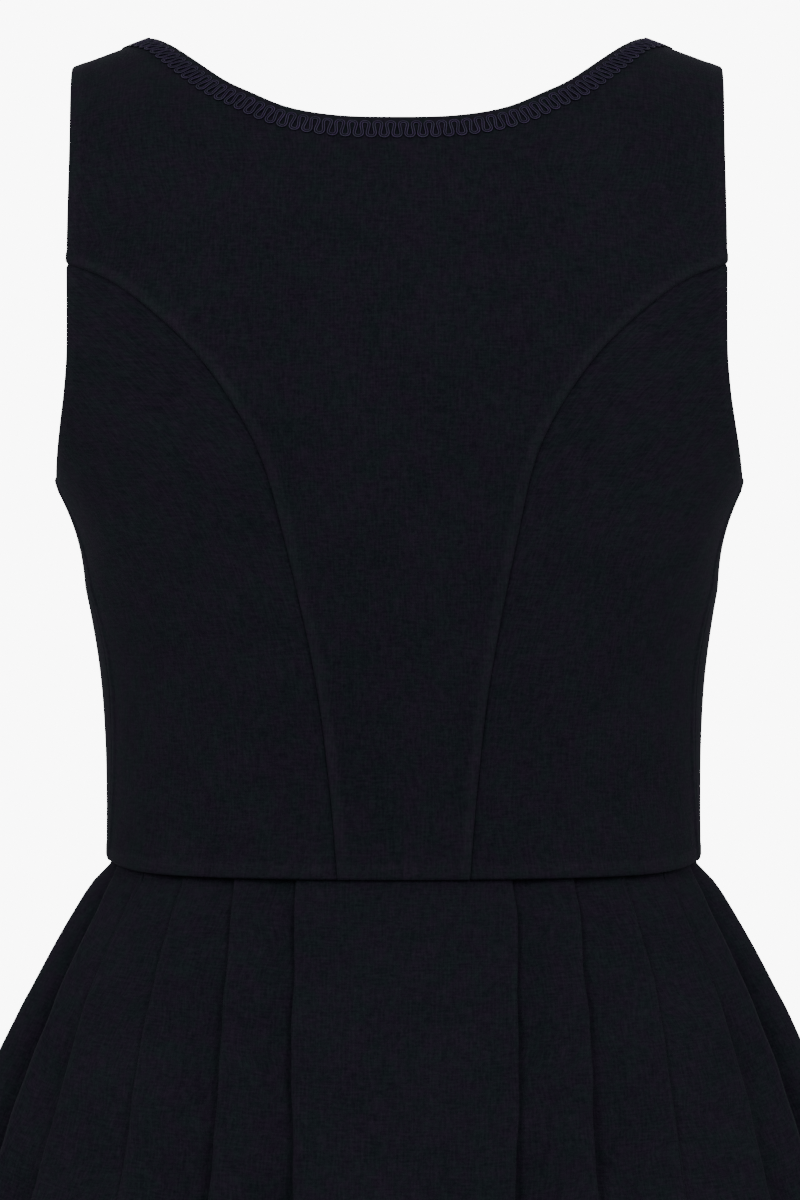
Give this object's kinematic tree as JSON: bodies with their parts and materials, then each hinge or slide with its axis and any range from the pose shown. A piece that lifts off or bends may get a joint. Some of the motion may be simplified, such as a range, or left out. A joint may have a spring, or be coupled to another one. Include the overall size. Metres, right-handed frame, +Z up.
{
  "type": "dirndl",
  "caption": "Sleeveless folk dress in its worn, hollow form: princess-seamed bodice with looped braid round the neckline, and a full knife-pleated skirt set in at the waist.",
  "frame": {"origin": "midway between the shoulder straps, where the wearer's shoulders hold the garment up", "axes": "+Z up along the garment's length, +Y out of its back, -Y out of its front, +X to the wearer's left"},
  "size_m": [0.7072, 0.639, 1.0382],
  "materials": {
    "cloth": "matt near-black navy plain weave with fine slubs",
    "braid": "looped navy gimp braid with a soft sheen",
    "hooks": "thin wire with a dark lacquer"
  },
  "bodies": {
    "root": {"back_center": "cloth", "back_side_left": "cloth", "back_side_right": "cloth", "front_side_left": "cloth", "front_side_right": "cloth", "front_center_left": "cloth", "front_center_right": "cloth", "skirt_back": "cloth", "skirt_front_left": "cloth", "skirt_front_right": "cloth", "neck_braid": "braid", "hook_1": "hooks", "eye_1": "hooks", "hook_2": "hooks", "eye_2": "hooks", "hook_3": "hooks", "eye_3": "hooks", "hook_4": "hooks", "eye_4": "hooks", "hook_5": "hooks", "eye_5": "hooks", "hook_6": "hooks", "eye_6": "hooks", "hook_7": "hooks", "eye_7": "hooks"}
  },
  "joints": []
}
